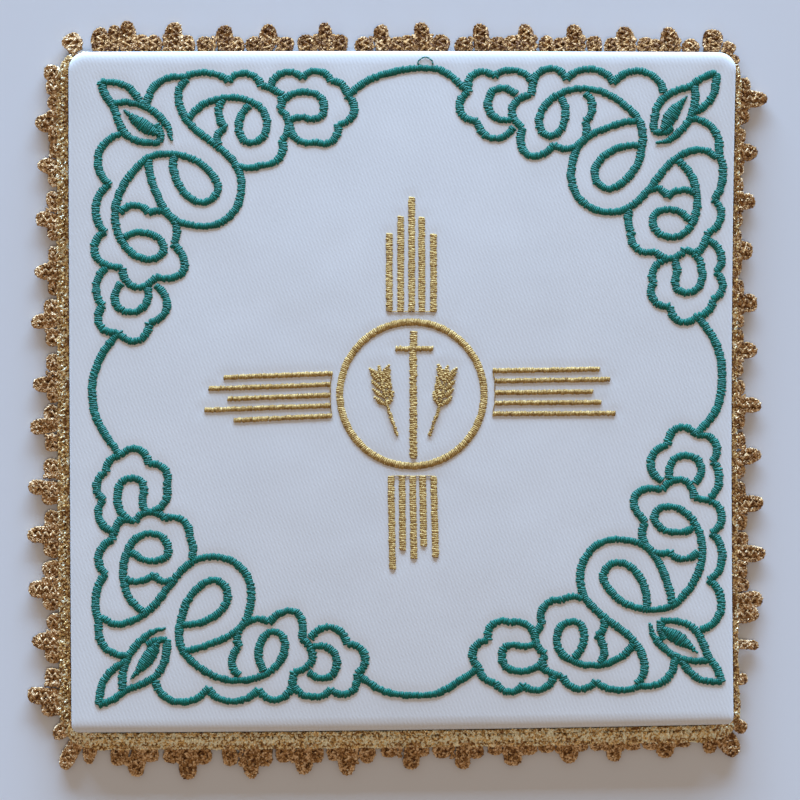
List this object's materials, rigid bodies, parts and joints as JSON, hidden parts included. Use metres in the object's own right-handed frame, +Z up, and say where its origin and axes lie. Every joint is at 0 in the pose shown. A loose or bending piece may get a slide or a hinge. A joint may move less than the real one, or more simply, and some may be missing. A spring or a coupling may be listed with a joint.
{
  "type": "chalice pall",
  "caption": "Stiffened square of white cloth with embroidered green and gold scrollwork, edged all round with gold picot lace, that lies over a chalice.",
  "frame": {"origin": "middle of the underside of the back panel, where the pall rests", "axes": "+X to the right of the face, +Y to the top of the face, +Z up out of the face"},
  "size_m": [0.1661, 0.1715, 0.005],
  "materials": {
    "face_cloth": "fine white twill, green and gold satin stitch",
    "back_cloth": "fine white twill, plain",
    "gold_lace": "gold metallic yarn that glitters"
  },
  "bodies": {
    "root": {"front_cover": "face_cloth", "back_panel": "back_cloth", "lace_trim": "gold_lace"}
  },
  "joints": []
}
